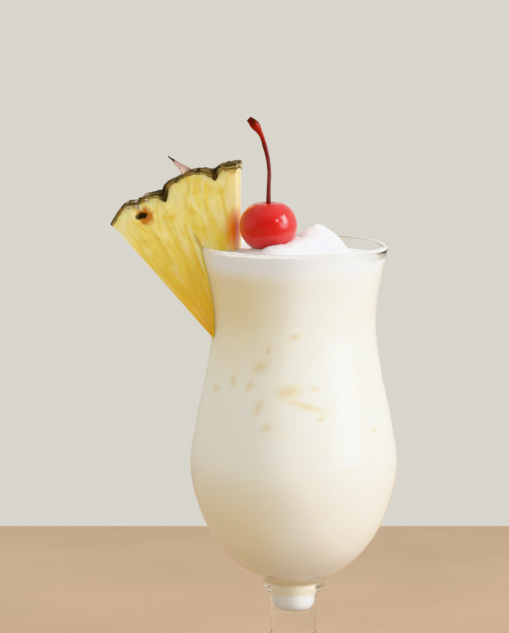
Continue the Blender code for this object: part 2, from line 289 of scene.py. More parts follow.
def mix(look, factor, first, second, blend="MIX"):
    """The colour between two others, or one laid over the other."""
    made = add(look, "ShaderNodeMix", {0: factor, MIX_A: first, MIX_B: second},
               data_type="RGBA", blend_type=blend)
    return made.outputs[MIX_RESULT]


def ramp(look, share, *stops):
    """The colour at a share of the way along the stops, each a place and a colour."""
    node = add(look, "ShaderNodeValToRGB", {"Fac": share})
    elements = node.color_ramp.elements
    while len(elements) < len(stops):
        elements.new(1.0)
    for element, (place, hex_value) in zip(elements, stops):
        element.position = place
        element.color = colour(hex_value)
    return node.outputs[0]


def maths(look, operation, *values):
    """The result of one step of arithmetic on sockets or numbers."""
    return add(look, "ShaderNodeMath", dict(enumerate(values)), operation=operation).outputs[0]


def fade(look, value, start, end, most=1.0, kind="LINEAR"):
    """A share that grows from 0 to its most as a value goes from the start to the end."""
    made = add(look, "ShaderNodeMapRange", {"Value": value, "From Min": start, "From Max": end,
                                            "To Max": most}, interpolation_type=kind)
    return made.outputs[0]


def mottle(look, place, scale, detail, **more):
    """Smooth noise from 0 to 1, with its scale in waves a metre."""
    made = add(look, "ShaderNodeTexNoise", {"Vector": place, "Scale": scale, "Detail": detail, **more})
    return made.outputs["Fac"]


def bumps(look, height, strength, distance):
    """Normals of a fine relief."""
    made = add(look, "ShaderNodeBump", {"Height": height, "Strength": strength, "Distance": distance})
    return made.outputs["Normal"]


def attribute(look, name):
    """A value that the mesh carries at each point."""
    return add(look, "ShaderNodeAttribute", attribute_name=name).outputs["Fac"]


def object_place(look):
    """The place of each point of the surface, in metres."""
    return add(look, "ShaderNodeTexCoord").outputs["Object"]


def height_at(look, place):
    """The height of a place above the foot's underside."""
    return add(look, "ShaderNodeSeparateXYZ", {"Vector": place}).outputs["Z"]


def finish_material(look, shader):
    """Links a shader to the material's output."""
    add(look, "ShaderNodeOutputMaterial", {"Surface": shader})
    return look


def surface(look, values):
    """Finishes a material with one Principled shader."""
    return finish_material(look, add(look, "ShaderNodeBsdfPrincipled", values).outputs[0])


def smooth_curve(points, steps):
    """Points along a rounded curve through the given ones, spaced by their distances."""
    points = numpy.array(points, dtype=float)
    spans = numpy.linalg.norm(numpy.diff(points, axis=0), axis=1)
    slopes = numpy.diff(points, axis=0) / spans[:, None]
    tangents = numpy.empty_like(points)
    tangents[0] = slopes[0]
    tangents[-1] = slopes[-1]
    weights = spans[:-1] + spans[1:]
    tangents[1:-1] = (slopes[:-1] * spans[1:, None] + slopes[1:] * spans[:-1, None]) / weights[:, None]
    curve = []
    for i, span in enumerate(spans):
        for t in numpy.linspace(0, 1, steps, endpoint=False):
            start = (1 + 2 * t) * (1 - t) ** 2 * points[i]
            end = t * t * (3 - 2 * t) * points[i + 1]
            leave = t * (1 - t) ** 2 * span * tangents[i]
            arrive = t * t * (t - 1) * span * tangents[i + 1]
            curve.append(start + end + leave + arrive)
    curve.append(points[-1])
    return numpy.array(curve)


def offset(points, distance):
    """The outline moved to the right of its direction, with mitred corners."""
    points = numpy.array(points, dtype=float)
    before = numpy.roll(points, 1, axis=0)
    after = numpy.roll(points, -1, axis=0)
    before[0] = 2 * points[0] - points[1]
    after[-1] = 2 * points[-1] - points[-2]
    moved = []
    for a, b, c in zip(before, points, after):
        first = (b - a) / numpy.linalg.norm(b - a)
        second = (c - b) / numpy.linalg.norm(c - b)
        normal = numpy.array((first[1] + second[1], -first[0] - second[0]))
        moved.append(b + normal * 2 * distance / (normal @ normal))
    return numpy.array(moved)


def mesh_from(bm, name):
    """Turns a bmesh into a closed, smooth mesh whose faces point out."""
    bmesh.ops.remove_doubles(bm, verts=bm.verts, dist=MERGE_DISTANCE)
    bmesh.ops.recalc_face_normals(bm, faces=bm.faces)
    mesh = bpy.data.meshes.new(name)
    bm.to_mesh(mesh)
    bm.free()
    mesh.shade_smooth()
    mesh.set_sharp_from_angle(angle=SHARP_ANGLE)
    return mesh


def turned(name, outline, segments=SEGMENTS, closed=False):
    """A shape turned about Z from (radius, height) points."""
    bm = bmesh.new()
    verts = [bm.verts.new((radius, 0, height)) for radius, height in outline]
    edges = [bm.edges.new(pair) for pair in zip(verts, verts[1:])]
    if closed:
        edges.append(bm.edges.new((verts[-1], verts[0])))
    bmesh.ops.spin(bm, geom=verts + edges, cent=(0, 0, 0), axis=(0, 0, 1),
                   angle=math.tau, steps=segments, use_merge=True)
    bmesh.ops.remove_doubles(bm, verts=bm.verts, dist=MERGE_DISTANCE)
    open_edges = [edge for edge in bm.edges if edge.is_boundary]
    if open_edges:
        bmesh.ops.holes_fill(bm, edges=open_edges, sides=0)
    return mesh_from(bm, name)


def block(cuts):
    """A cube from 0 to 1, cut evenly along x, y and z."""
    bm = bmesh.new()
    bmesh.ops.create_cube(bm, size=1.0, matrix=Matrix.Translation((0.5, 0.5, 0.5)))
    for axis, count in enumerate(cuts):
        along = [edge for edge in bm.edges
                 if abs(edge.verts[0].co[axis] - edge.verts[1].co[axis]) > 0.5]
        bmesh.ops.subdivide_edges(bm, edges=along, cuts=count, use_grid_fill=True)
    return bm


def shaped(name, bm, shape):
    """A mesh from a block whose points a function moves to their places."""
    for vert in bm.verts:
        vert.co = shape(*vert.co)
    return mesh_from(bm, name)


def piece(name, mesh, look, slot, *nodes):
    """Puts a mesh in the scene, on the body, in place of the nodes that it stands for."""
    made = bpy.data.objects.new(name, mesh)
    bpy.context.scene.collection.objects.link(made)
    mesh.materials.append(look)
    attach(made, "root")
    if nodes:
        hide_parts(*nodes)
    return made


def wavy(point, size, seed=0.0):
    """Smooth noise from -1 to 1 at a point, for waves of a given size in metres."""
    return noise.noise(Vector(point) / size + Vector((seed, seed * 1.7, seed * 2.3)))


# Materials

def clear_glass():
    """Pressed soda-lime glass: colourless and fire-polished, with faint waves in its highlights."""
    look = new_material("soda_lime_glass")
    waves = mottle(look, object_place(look), 70.0, 1.0)
    glass = add(look, "ShaderNodeBsdfPrincipled", {
        "Base Color": colour("#FCFDFC"), "Roughness": 0.015, "IOR": 1.5,
        "Transmission Weight": 1.0, "Normal": bumps(look, waves, 0.25, 0.0004)})
    passing = add(look, "ShaderNodeBsdfTransparent", {"Color": colour("#F7F8F6")})
    rays = add(look, "ShaderNodeLightPath")
    soft = maths(look, "MAXIMUM", rays.outputs["Is Shadow Ray"], rays.outputs["Is Diffuse Ray"])
    both = add(look, "ShaderNodeMixShader", {"Fac": soft, 1: glass.outputs[0], 2: passing.outputs[0]})
    return finish_material(look, both.outputs[0])


def cream_colours(look, place):
    """Blended coconut cream and juice, and white foam above it, with a soft uneven border, and painted
    warm shade high and low on the drink's left side.
    """
    parts = add(look, "ShaderNodeSeparateXYZ", {"Vector": place})
    height = parts.outputs["Z"]
    cream = ramp(look, mottle(look, place, 55.0, 3.0), (0.30, "#F9F5EE"), (0.70, "#FBF9F3"))
    # Painted warm shade: the drink's left side is tinted tan near the top and low down, standing in for
    # warm bounced light.
    high = fade(look, height, 0.130, 0.170, kind="SMOOTHSTEP")
    low = fade(look, height, 0.112, 0.080, 0.65, "SMOOTHSTEP")
    side = fade(look, parts.outputs["X"], 0.004, -0.022, kind="SMOOTHSTEP")
    warm_shade = maths(look, "MULTIPLY", maths(look, "ADD", high, low), side)
    warm_shaded = mix(look, warm_shade, cream, colour("#F6E9C8"))
    ragged = maths(look, "MULTIPLY_ADD", mottle(look, place, 160.0, 3.0), 0.0030, -0.0015)
    share = fade(look, maths(look, "ADD", height, ragged), 0.1772, 0.1848, kind="SMOOTHSTEP")
    return mix(look, share, warm_shaded, colour("#F4F6FB"))


def creamy_drink():
    """Blended coconut cream, juice and ice: opaque and creamy, with painted warm shade by the wedge and
    low down, painted shade in the neck and painted light in the stem's pocket.
    """
    look = new_material("coconut_cream_drink")
    place = object_place(look)
    height = height_at(look, place)
    # Painted shade and light by height: tan in the neck where light is blocked, bluish white in the
    # stem's pocket as if lit through the stem.
    thick = ramp(look, fade(look, height, 0.040, 0.070), (0.30, "#EEF3FF"), (0.35, "#F4F1E8"),
                 (0.50, "#F2ECDD"), (0.62, "#FFFFFF"))
    neck_shade_pocket_light = mix(look, 1.0, cream_colours(look, place), thick, "MULTIPLY")
    pulpy = mix(look, attribute(look, "pulp"), neck_shade_pocket_light, colour("#F5EBD3"), "MULTIPLY")
    below = fade(look, height, DRINK_LEVEL - 0.001, DRINK_LEVEL - 0.006)
    roomy = fade(look, height, 0.050, 0.066, 0.6)
    return surface(look, {
        "Base Color": pulpy, "Roughness": 0.45, "Specular IOR Level": 0.1,
        "Subsurface Weight": maths(look, "MULTIPLY", below, roomy),
        "Subsurface Radius": (1.0, 0.85, 0.65), "Subsurface Scale": 0.006})


def white_foam():
    """Whipped foam of drink and crushed ice: matt white, full of tiny bubbles where it is open."""
    look = new_material("whipped_foam")
    place = object_place(look)
    above = fade(look, height_at(look, place), DRINK_LEVEL + 0.004, DRINK_LEVEL + 0.010)
    bubbles = add(look, "ShaderNodeTexVoronoi", {"Vector": place, "Scale": 900.0})
    rough = maths(look, "ADD", mottle(look, place, 1400.0, 2.0), bubbles.outputs["Distance"])
    open_top = maths(look, "MULTIPLY", rough, above)
    return surface(look, {
        "Base Color": cream_colours(look, place), "Roughness": 0.6, "Specular IOR Level": 0.1,
        "Subsurface Weight": maths(look, "MULTIPLY", above, 0.4),
        "Subsurface Radius": (1.0, 0.95, 0.9), "Subsurface Scale": 0.003,
        "Normal": bumps(look, open_top, 0.5, 0.0003)})


def wedge_space(look, place):
    """Sockets of the wedge's own frame: its place, its radius from the point, and strand space."""
    local = add(look, "ShaderNodeMapping", {
        "Vector": place, "Location": WEDGE_POINT, "Rotation": (0, 0, WEDGE_TURN)},
        vector_type="TEXTURE").outputs[0]
    parts = add(look, "ShaderNodeSeparateXYZ", {"Vector": local})
    angle = maths(look, "ARCTAN2", parts.outputs["Z"], parts.outputs["X"])
    across = maths(look, "MULTIPLY", angle, 0.055)
    flat = add(look, "ShaderNodeCombineXYZ", {"X": parts.outputs["X"], "Z": parts.outputs["Z"]})
    length = add(look, "ShaderNodeVectorMath", {0: flat.outputs[0]}, operation="LENGTH")
    radius = length.outputs["Value"]
    along = maths(look, "MULTIPLY", maths(look, "MULTIPLY", radius, radius), 2.2)
    strands = add(look, "ShaderNodeCombineXYZ", {"X": across, "Y": parts.outputs["Y"], "Z": along})
    return local, radius, strands.outputs[0]


def spot(look, local, radius, degrees, turn, size):
    """Distance from the middle of a spot on the wedge's front face, as a share of the spot's size."""
    x = radius * math.cos(math.radians(degrees))
    z = radius * math.sin(math.radians(degrees))
    inside = add(look, "ShaderNodeMapping", {
        "Vector": local, "Location": (x, -WEDGE_THICKNESS / 2, z), "Rotation": (0, turn, 0),
        "Scale": size}, vector_type="TEXTURE")
    length = add(look, "ShaderNodeVectorMath", {0: inside.outputs[0]}, operation="LENGTH")
    return length.outputs["Value"]


def flesh_marks(look, place, local, shade):
    """Marks on the flesh: its pale end, the orange by the cherry (partly a syrup stain, partly painted
    reflection of the cherry's red light), a slit and the cut eye.
    """
    ragged = maths(look, "MULTIPLY_ADD", mottle(look, place, 500.0, 1.0), 0.7, -0.35)
    end = spot(look, local, 0.0680, 89.5, 0.0, (0.0055, 0.0300, 0.0150))
    # Orange by the cherry: partly a syrup stain, partly painted reflection of the cherry's red light.
    stain_and_cherry_glow = spot(look, local, 0.0535, 88.5, 0.0, (0.0072, 0.0300, 0.0105))
    slit = spot(look, local, 0.0514, 107.6, math.radians(64), (0.0030, 0.0040, 0.0007))
    rim = spot(look, local, PIT_PLACE[0] - 0.0010, PIT_PLACE[1] - 1.2, 0.0, (0.0038, 0.0040, 0.0038))
    pit = spot(look, local, *PIT_PLACE, PIT_TURN, PIT_SIZE)
    faded = mix(look, fade(look, end, 1.0, 0.3, 0.7), shade, colour("#F8EBBA"))
    cherry_glowing = mix(look, fade(look, stain_and_cherry_glow, 1.0, 0.3), faded, colour("#F46E06"))
    split = mix(look, fade(look, slit, 1.6, 0.5, 0.5), cherry_glowing, colour("#B08838"))
    halo = fade(look, maths(look, "ADD", rim, ragged), 1.1, 0.6, 0.9)
    around = mix(look, halo, split, colour("#C8742C"))
    hole = fade(look, maths(look, "ADD", pit, ragged), 1.25, 0.90)
    return mix(look, hole, around, colour("#2E1B0C"))


def pineapple_flesh():
    """Ripe cut pineapple: wet, translucent and yellow, with strands that run out from the core, and
    deeper amber towards the point, partly riper core and partly painted shade near the glass.
    """
    look = new_material("ripe_pineapple_flesh")
    place = object_place(look)
    local, radius, strand_space = wedge_space(look, place)
    drift = maths(look, "MULTIPLY_ADD", mottle(look, place, 75.0, 2.0), 0.30, -0.15)
    # Deeper amber towards the point: partly the riper core's colour, partly painted shade of the flesh
    # beside the glass.
    depth = maths(look, "ADD", fade(look, radius, 0.010, 0.080), drift)
    amber_core_and_shade = ramp(look, depth, (0.06, "#EDB644"), (0.28, "#F2C852"), (0.48, "#F4D866"),
                (0.72, "#F5E37C"), (0.92, "#F2E598"))
    cells = add(look, "ShaderNodeVectorMath", {0: strand_space, 1: (1.0, 1.0, 3.0)},
                operation="MULTIPLY")
    juice = mottle(look, cells.outputs[0], 170.0, 2.0, Distortion=0.8)
    wide = mottle(look, strand_space, 190.0, 2.0, Roughness=0.4, Distortion=1.6)
    pale = fade(look, wide, 0.48, 0.66, 0.65)
    upper = fade(look, radius, 0.016, 0.040)
    riper = mix(look, fade(look, juice, 0.50, 0.68, 0.65), amber_core_and_shade, colour("#F0CC30"))
    paler = mix(look, maths(look, "MULTIPLY", pale, upper), riper, colour("#F9F0BE"))
    streaked = mix(look, fade(look, wide, 0.44, 0.28, 0.5), paler, colour("#E6BE3C"))
    fine = mottle(look, strand_space, 1500.0, 3.0)
    return surface(look, {
        "Base Color": flesh_marks(look, place, local, streaked), "Roughness": 0.32,
        "Subsurface Weight": 0.45, "Subsurface Radius": (1.0, 0.55, 0.10),
        "Subsurface Scale": 0.004, "Normal": bumps(look, fine, 0.6, 0.0004)})


def pineapple_rind():
    """Pineapple rind: dry and scaly, mottled olive and brown outside, in pale layers where cut, with
    painted dark shade in the seams between its eyes.
    """
    look = new_material("dry_pineapple_rind")
    place = object_place(look)
    patches = mottle(look, place, 260.0, 4.0)
    scaly = ramp(look, patches, (0.30, "#2A2116"), (0.44, "#5A4A28"), (0.55, "#7B6B3A"),
                 (0.66, "#8C7A52"), (0.78, "#A98E62"))
    rise = attribute(look, "rise")
    shifted = maths(look, "MULTIPLY_ADD", patches, 1.10, -0.55)
    layers = ramp(look, maths(look, "ADD", rise, shifted), (0.04, "#D8C272"), (0.16, "#9A7A3E"),
                  (0.30, "#6A4D28"), (0.46, "#B5A86E"), (0.66, "#8E8450"), (0.78, "#3E301D"),
                  (1.00, "#2C2218"))
    whole = mix(look, fade(look, rise, 0.85, 1.0), layers, scaly)
    blots = mottle(look, place, 240.0, 3.0, Distortion=0.8)
    brown = mix(look, fade(look, blots, 0.47, 0.36, 0.7), whole, colour("#96703A"))
    uneven = mix(look, fade(look, blots, 0.54, 0.64, 0.8), brown, colour("#2E2417"))
    # Painted shade: the rind is darkened where it dips deep between two eyes.
    seam_shade = fade(look, attribute(look, "seam"), 0.25, 0.85, 0.85)
    scales = mottle(look, place, 900.0, 3.0)
    return surface(look, {
        "Base Color": mix(look, seam_shade, uneven, colour("#231A10")), "Roughness": 0.7,
        "Normal": bumps(look, scales, 0.8, 0.0006)})


def dry_bract():
    """Dried bract: papery and pinkish brown, darker towards its tip."""
    look = new_material("papery_dry_bract")
    streaks = mottle(look, object_place(look), 700.0, 3.0)
    worn = maths(look, "MULTIPLY_ADD", streaks, 0.5, attribute(look, "tip"))
    shade = ramp(look, worn, (0.15, "#7A6050"), (0.45, "#D2B5A8"), (0.85, "#BE9C8C"),
                 (1.00, "#4A332A"))
    return surface(look, {
        "Base Color": shade, "Roughness": 0.75, "Subsurface Weight": 0.2,
        "Subsurface Radius": (1.0, 0.6, 0.4), "Subsurface Scale": 0.001})


def cherry_skin():
    """Cocktail cherry: syrup-soaked and translucent, with a wet, glassy skin."""
    look = new_material("syrup_cherry_skin")
    place = object_place(look)
    shade = ramp(look, mottle(look, place, 180.0, 3.0), (0.30, "#C73230"), (0.75, "#CF3F3D"))
    waves = mottle(look, place, 260.0, 1.0)
    return surface(look, {
        "Base Color": shade, "Roughness": 0.16, "Specular IOR Level": 0.25,
        "Subsurface Weight": 0.9, "Subsurface Radius": (1.0, 0.18, 0.15),
        "Subsurface Scale": 0.012, "Coat Weight": 0.75, "Coat Roughness": 0.08,
        "Normal": bumps(look, waves, 0.25, 0.0004)})


def cherry_stalk():
    """Cherry stalk: dark red-brown and slightly glossy, nearly brown at its cut end."""
    look = new_material("dyed_cherry_stalk")
    place = object_place(look)
    streaks = mottle(look, place, 500.0, 3.0)
    shift = maths(look, "MULTIPLY_ADD", streaks, 0.006, height_at(look, place))
    shade = ramp(look, fade(look, shift, 0.207, 0.247), (0.0, "#741E1C"), (0.35, "#864846"),
                 (0.66, "#742622"), (0.76, "#A42018"), (0.87, "#962014"), (0.925, "#3E1610"))
    return surface(look, {
        "Base Color": shade, "Roughness": 0.35, "Specular IOR Level": 0.25,
        "Normal": bumps(look, streaks, 0.5, 0.0003)})


def pale_board():
    """Painted board under the glass: pale, warm and matt, with a faint mottle."""
    look = new_material("pale_painted_board")
    shade = ramp(look, mottle(look, object_place(look), 12.0, 3.0), (0.30, "#C3A88C"),
                 (0.75, "#CCB195"))
    return surface(look, {"Base Color": shade, "Roughness": 0.8})


# Glass and drink

def bowl_outside(steps):
    """The bowl's outer curve, from the rim down."""
    return smooth_curve(BOWL_OUTSIDE, steps)


def bowl_inside(steps):
    """The hollow's curve, from the rim down to the end of the pocket."""
    even = [point for point in offset(bowl_outside(EVEN_WALL_STEPS), WALL) if point[1] > EVEN_WALL_ENDS]
    return smooth_curve([*even, *FLOOR_INSIDE], steps)


def glass_outline():
    """The whole section: foot edge, stem, bowl, rim, and down inside to the axis."""
    outer = smooth_curve([*BOWL_OUTSIDE, *STEM_OUTSIDE], CURVE_STEPS)
    inner = bowl_inside(CURVE_STEPS)
    middle = (outer[0] + inner[0]) / 2
    across = (outer[0] - inner[0]) / 2
    up = numpy.array((0, RIM_HEIGHT - middle[1]))
    rim = []
    for step in range(1, RIM_STEPS):
        turn = math.pi * step / RIM_STEPS
        rim.append(middle + across * math.cos(turn) + up * math.sin(turn))
    return [*outer[::-1], *rim, *inner]


def contents_outline(steps):
    """The hollow's curve, moved a little into the wall, from the rim down to the axis."""
    inner = offset(bowl_inside(steps), -INTO_WALL)
    inner[-1] = (0, FLOOR_INSIDE[-1][1] - INTO_WALL)
    return inner


CONTENTS = contents_outline(DRINK_STEPS)


def contents_radius(height):
    """Radius of what fills the bowl at a height above the floor's curve."""
    return numpy.interp(height, CONTENTS[::-1, 1], CONTENTS[::-1, 0])


def make_glass():
    """The glass: bowl, knuckle, stem and foot in one piece."""
    piece("hurricane_glass", turned("hurricane_glass", glass_outline()), clear_glass(),
          "clear_glass", "glass")


def make_drink():
    """The drink, with the pocket in the stem."""
    wall = [point for point in CONTENTS if point[1] < DRINK_LEVEL]
    outline = [(0, DRINK_LEVEL), (contents_radius(DRINK_LEVEL), DRINK_LEVEL), *wall]
    mesh = turned("creamy_drink", outline, DRINK_SEGMENTS)
    pulp = mesh.attributes.new("pulp", "FLOAT", "POINT")
    for vert, share in zip(mesh.vertices, pulp.data):
        share.value = pulp_share(vert.co)
    piece("creamy_drink", mesh, creamy_drink(), "creamy_drink", "drink")


def pulp_share(point):
    """How much a shred of pulp, pressed against the wall under a film of cream, shows at a point."""
    radius = math.hypot(point.x, point.y)
    around = math.atan2(point.x, -point.y)
    share = 0.0
    for turn, height, length, width, tilt in PULP_BITS:
        rise = point.z - height
        if abs(rise) > PULP_REACH or radius < PULP_REACH:
            continue
        across = math.remainder(around - math.radians(turn), math.tau) * radius
        lean = math.radians(tilt)
        along = (across * math.cos(lean) + rise * math.sin(lean)) / (length * PULP_SPREAD)
        side = (rise * math.cos(lean) - across * math.sin(lean)) / (width * PULP_SPREAD)
        frayed = 1 + 0.8 * wavy(point, 0.0016, 5.0)
        share = max(share, math.exp(-(along * along + side * side) * frayed))
    return share


# Foam

def heap_height(x, y):
    """Height of the heaps above the foam's level, blended where they meet."""
    total = 0.0
    for centre_x, centre_y, radius, height, fullness in HEAPS:
        reach = min(1.0, math.hypot(x - centre_x, y - centre_y) / radius)
        total += (height * (1 - reach ** fullness) ** 2) ** BLEND_POWER
    return total ** (1 / BLEND_POWER)


def foam_top(x, y):
    """Height of the foam's surface above the foot."""
    along = x * FALL_DIRECTION[0] + y * FALL_DIRECTION[1]
    t = min(1.0, max(0.0, (along - FALL_START) / FALL_LENGTH))
    fall = FOAM_FALL * t * t * (3 - 2 * t)
    heap = heap_height(x, y)
    lumps = sum(depth * wavy((x, y, 0), size, seed) for depth, size, seed in FOAM_LUMPS)
    return FOAM_LEVEL - fall + heap + lumps * (0.5 + min(1.0, heap / LUMPY_HEAP))


def make_foam():
    """The foam: a band round the wall and a heap beside the cherry."""
    top_rings = [(1 - ring / FOAM_RINGS, 1.0) for ring in range(FOAM_RINGS + 1)]
    wall_rings = [(1.0, ring / FOAM_WALL_RINGS) for ring in range(FOAM_WALL_RINGS)]
    mesh = turned("white_foam", [(0.0, 0.0), *wall_rings, *top_rings])
    for vert in mesh.vertices:
        share = math.hypot(vert.co.x, vert.co.y)
        rise = vert.co.z
        turn = math.atan2(vert.co.y, vert.co.x)
        radius = share * contents_radius(FOAM_LEVEL)
        top = foam_top(radius * math.cos(turn), radius * math.sin(turn))
        height = FOAM_BOTTOM + rise * (top - FOAM_BOTTOM)
        radius = share * contents_radius(height if share > AT_WALL else FOAM_LEVEL)
        vert.co = (radius * math.cos(turn), radius * math.sin(turn), height)
    piece("white_foam", mesh, white_foam(), "white_foam", "foam")


# Pineapple

def polar(radius, degrees):
    """A point of the wedge's plane from its point."""
    angle = math.radians(degrees)
    return numpy.array((radius * math.cos(angle), radius * math.sin(angle)))


def standing(x, y, z):
    """A point of the wedge's own frame, turned and stood on the rim."""
    return WEDGE_POINT + Matrix.Rotation(WEDGE_TURN, 3, "Z") @ Vector((x, y, z))


def rind_curve():
    """The rind's top line as a rounded curve, with each degree as a length."""
    return smooth_curve([(degrees * DEGREE_LENGTH, radius) for degrees, radius in RIND_LINE], RIND_STEPS)


RIND_CURVE = rind_curve()


def rind_radius(degrees, y):
    """Distance from the wedge's point to the rind, with its eyes and a notch between two of them."""
    line = numpy.interp(degrees * DEGREE_LENGTH, RIND_CURVE[:, 0], RIND_CURVE[:, 1])
    notch = math.exp(-((degrees - NOTCH_ANGLE) / NOTCH_WIDTH) ** 2)
    crown = (2 * y / WEDGE_THICKNESS) ** 2
    return line - NOTCH_DEPTH * notch - RIND_CROWN * crown


def seam_share(degrees, angle, width):
    """How near a place on the rind is to a seam between two eyes, from 0 to 1."""
    return math.exp(-((degrees - angle) / width) ** 2)


def rind_thickness(degrees, y):
    """Thickness of the rind, thin over the eyes, thick at its seams and at the wedge's right end."""
    ragged = wavy((degrees * 0.0012, y, 0), 0.0016, 5.0)
    end = max(0.0, 1 - (degrees - 90) / RIND_END_SPAN)
    seams = sum(depth * seam_share(degrees, angle, width) for angle, width, depth in SEAMS)
    return RIND_THICKNESS + RIND_RAGGED * ragged + RIND_END_THICKER * end + seams


def strand_relief(degrees, radius, y):
    """Depth of the strands that run out from the core, on a cut face."""
    broad = wavy((degrees * 0.0009, radius * 0.10, y), 0.0030, 1.0)
    narrow = wavy((degrees * 0.0009, radius * 0.14, y), 0.0012, 2.0)
    return 0.00028 * broad + 0.00012 * narrow - 0.0003


def pit_depth(x, z):
    """Depth of the cut eye's pit in the front face, at a place in the wedge's plane."""
    pit_x, pit_z = polar(*PIT_PLACE)
    from_pit = Matrix.Rotation(PIT_TURN, 3, "Y").inverted() @ Vector((x - pit_x, 0, z - pit_z))
    near = math.hypot(from_pit.x / PIT_SIZE[0], from_pit.z / PIT_SIZE[2])
    return PIT_DEPTH * math.exp(-near ** 4)


def flesh_shape(u, v, w):
    """Bends the unit block into the wedge's flesh, with strands on every cut face."""
    degrees = WEDGE_ARC[0] + (WEDGE_ARC[1] - WEDGE_ARC[0]) * u
    side = (w - 0.5) * WEDGE_THICKNESS
    outer = rind_radius(degrees, side) - rind_thickness(degrees, side)
    radius = WEDGE_BLUNT + (outer - WEDGE_BLUNT) * v
    relief = strand_relief(degrees, radius, side)
    x, z = polar(radius, degrees)
    if w == 1.0:
        side += relief
    if w == 0.0:
        side -= relief
        side += pit_depth(x, z)
    if u in (0.0, 1.0):
        tangent_x, tangent_z = polar(relief, degrees + 90)
        sign = 1 if u == 1.0 else -1
        x += tangent_x * sign
        z += tangent_z * sign
    return standing(x, side, z)


def slot_cutter():
    """A turned ring in the glass's wall, which cuts the wedge's slot to fit tightly."""
    outer = offset(bowl_outside(CURVE_STEPS), SLOT_INTO_WALL)
    inner = offset(bowl_inside(CURVE_STEPS), -SLOT_INTO_WALL)
    outer = numpy.array([point for point in outer if point[1] > SLOT_BOTTOM])
    inner = numpy.array([point for point in inner if point[1] > SLOT_BOTTOM])
    flare = (outer[0] - outer[1]) / (outer[0][1] - outer[1][1])
    outer_top = outer[0] + flare * (SLOT_TOP - outer[0][1])
    inner_top = inner[0] + flare * (SLOT_TOP - inner[0][1])
    outline = [*outer[::-1], outer_top, inner_top, *inner]
    made = bpy.data.objects.new("slot_cutter", turned("slot_cutter", outline, closed=True))
    bpy.context.scene.collection.objects.link(made)
    return made


def cut_slot(flesh):
    """Cuts the slot into the flesh's mesh and removes the cutter."""
    cutter = slot_cutter()
    boolean = flesh.modifiers.new("slot", "BOOLEAN")
    boolean.object = cutter
    boolean.solver = "MANIFOLD"
    seen = flesh.evaluated_get(bpy.context.evaluated_depsgraph_get())
    mesh = bpy.data.meshes.new_from_object(seen)
    flesh.modifiers.clear()
    flesh.data = mesh
    bpy.data.objects.remove(cutter, do_unlink=True)
    mesh.shade_smooth()
    mesh.set_sharp_from_angle(angle=SHARP_ANGLE)


def make_flesh():
    """The wedge's flesh, slotted over the rim."""
    mesh = shaped("wedge_flesh", block(FLESH_CUTS), flesh_shape)
    made = piece("wedge_flesh", mesh, pineapple_flesh(), "pineapple", "pineapple")
    cut_slot(made)


def rind_shape(u, v, w):
    """Bends the unit block into the rind, rough on top and ragged at its edges."""
    degrees = WEDGE_ARC[0] + (WEDGE_ARC[1] - WEDGE_ARC[0]) * u
    side = (w - 0.5) * WEDGE_THICKNESS
    top = rind_radius(degrees, side)
    thick = rind_thickness(degrees, side) + 0.0002
    grain = wavy((degrees * 0.0014, side, v * thick), 0.0014, 9.0)
    fine = wavy((degrees * 0.0014, side, v * thick), 0.0006, 4.0)
    radius = top - thick * (1 - v) + v * (0.00035 * grain + 0.00015 * fine - 0.0003)
    side += math.copysign(0.00012 * (grain + fine), side) * (1 if w in (0.0, 1.0) else 0)
    x, z = polar(radius, degrees)
    return standing(x, side, z)


def make_rind():
    """The rind, a ragged skin over the wedge's arc."""
    bm = block(RIND_CUTS)
    rise = bm.verts.layers.float.new("rise")
    seam = bm.verts.layers.float.new("seam")
    for vert in bm.verts:
        degrees = WEDGE_ARC[0] + (WEDGE_ARC[1] - WEDGE_ARC[0]) * vert.co.x
        vert[rise] = vert.co.y
        # The seam share also sets where painted shade darkens the rind.
        vert[seam] = max(seam_share(degrees, angle, width) for angle, width, depth in SEAMS)
    mesh = shaped("wedge_rind", bm, rind_shape)
    piece("wedge_rind", mesh, pineapple_rind(), "pineapple")


def bract_shape(angle, y, length, lean, width):
    """The function that bends a unit block into one dry bract, rooted in the rind."""
    start_x, start_z = polar(rind_radius(angle, y) - BRACT_ROOT, angle)
    along_x, along_z = polar(1.0, angle + lean)
    along = Vector((along_x, 0, along_z))
    sideways = Vector((along_z, 0, -along_x))
    depth = Vector((0, 1, 0))
    wide = depth * math.cos(BRACT_TURN) + sideways * math.sin(BRACT_TURN)
    thin = sideways * math.cos(BRACT_TURN) - depth * math.sin(BRACT_TURN)

    def shape(u, v, w):
        breadth = width * (BRACT_TIP_WIDTH + (1 - BRACT_TIP_WIDTH) * (1 - w) ** 1.6)
        thick = BRACT_THICKNESS * (1 - 0.6 * w)
        middle = Vector((start_x, y, start_z)) + along * (length + BRACT_ROOT) * w
        wave = BRACT_WAVE * math.sin(2.6 * math.pi * w)
        middle += thin * (wave - BRACT_BOW * w * w * length / 0.01)
        middle += sideways * BRACT_BEND * length * math.sin(math.pi * w)
        curl = BRACT_CURL * breadth * (2 * u - 1) ** 2
        fray = BRACT_FRAY * wavy((u * 0.003, v * 0.002, w * length), 0.0012, angle)
        point = middle + wide * (breadth * (u - 0.5) + fray) + thin * (thick * (v - 0.5) + curl)
        return standing(*point)

    return shape


